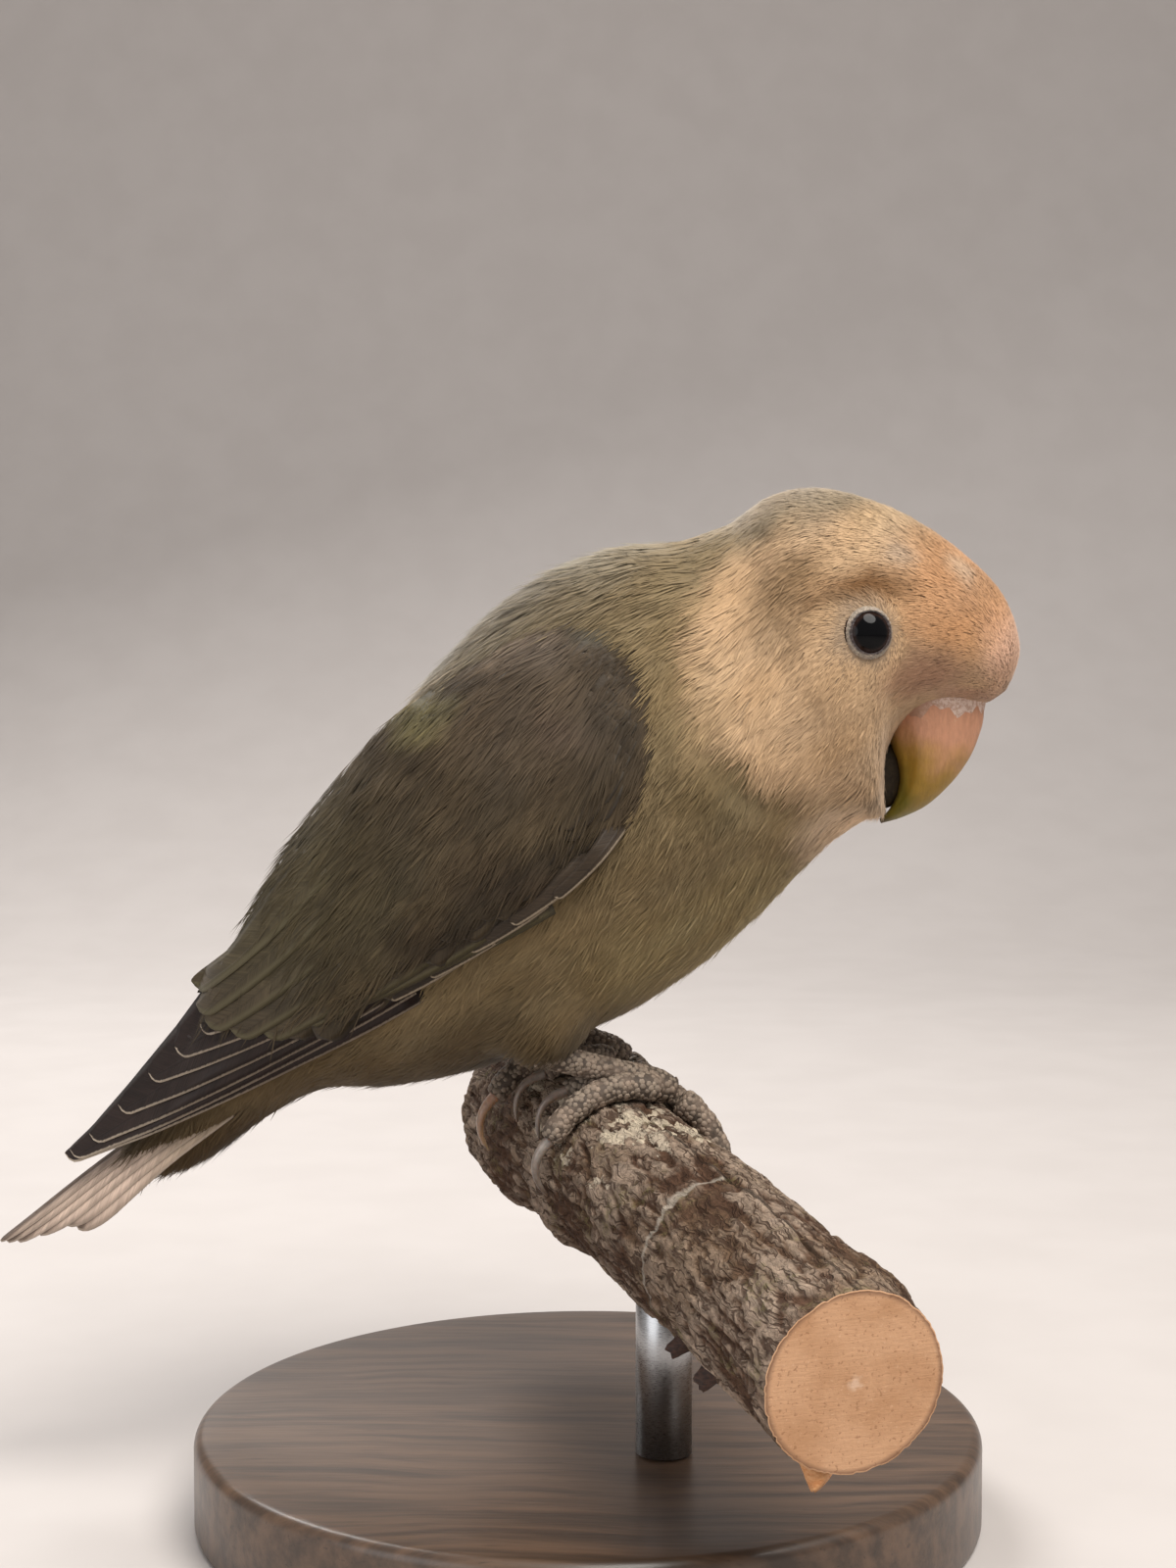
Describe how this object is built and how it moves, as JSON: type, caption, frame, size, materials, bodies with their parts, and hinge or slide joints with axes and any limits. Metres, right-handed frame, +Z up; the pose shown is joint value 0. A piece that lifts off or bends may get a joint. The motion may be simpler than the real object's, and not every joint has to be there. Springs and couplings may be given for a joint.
{
  "type": "peach faced lovebird",
  "caption": "Still life-size peach faced lovebird in soft olive and brown plumage, leaning forward on a short cut branch held by a plain round display stand.",
  "frame": {"origin": "centre of the stand's flat underside", "axes": "+Z up out of the stand, +X the way the bird faces, +Y towards the bird's left side and the branch's far end"},
  "size_m": [0.1377, 0.1235, 0.1361],
  "materials": {
    "body_feathers": "soft feathers, olive beige",
    "neck_feathers": "soft feathers, pale tan",
    "head_feathers": "short soft feathers, peach and tan",
    "wing_coverts": "smooth feathers, warm grey brown",
    "wing_inner_feathers": "smooth feathers, olive grey with pale edges",
    "flight_feathers": "stiff feathers, near black with cream edges",
    "tail_feathers": "smooth feathers, pale cream with grey streaks",
    "bill_upper": "satin horn, salmon to olive yellow at the tip",
    "bill_lower": "satin horn, olive",
    "eye": "wet gloss, near black",
    "foot_skin": "grey beaded scales",
    "claw": "pale pinkish horn",
    "bark": "rough grey brown bark with cream flecks, tan saw cut",
    "stand_rod": "satin",
    "stand_base": "dark stained, satin"
  },
  "bodies": {
    "root": {"rump": "body_feathers", "trunk": "body_feathers", "neck": "neck_feathers", "head": "head_feathers", "bill_upper": "bill_upper", "bill_lower": "bill_lower", "tail": "tail_feathers", "wing_right_coverts": "wing_coverts", "wing_right_inner_feathers": "wing_inner_feathers", "wing_right_primaries": "flight_feathers", "wing_left_coverts": "wing_coverts", "wing_left_inner_feathers": "wing_inner_feathers", "wing_left_primaries": "flight_feathers", "eye_right": "eye", "thigh_right": "body_feathers", "tarsus_right": "foot_skin", "toe_right_inner_front": "foot_skin", "claw_right_inner_front": "claw", "toe_right_outer_front": "foot_skin", "claw_right_outer_front": "claw", "toe_right_outer_rear": "foot_skin", "claw_right_outer_rear": "claw", "toe_right_inner_rear": "foot_skin", "claw_right_inner_rear": "claw", "eye_left": "eye", "thigh_left": "body_feathers", "tarsus_left": "foot_skin", "toe_left_inner_front": "foot_skin", "claw_left_inner_front": "claw", "toe_left_outer_front": "foot_skin", "claw_left_outer_front": "claw", "toe_left_outer_rear": "foot_skin", "claw_left_outer_rear": "claw", "toe_left_inner_rear": "foot_skin", "claw_left_inner_rear": "claw", "perch_branch": "bark", "stand_rod": "stand_rod", "stand_base": "stand_base"}
  },
  "joints": []
}
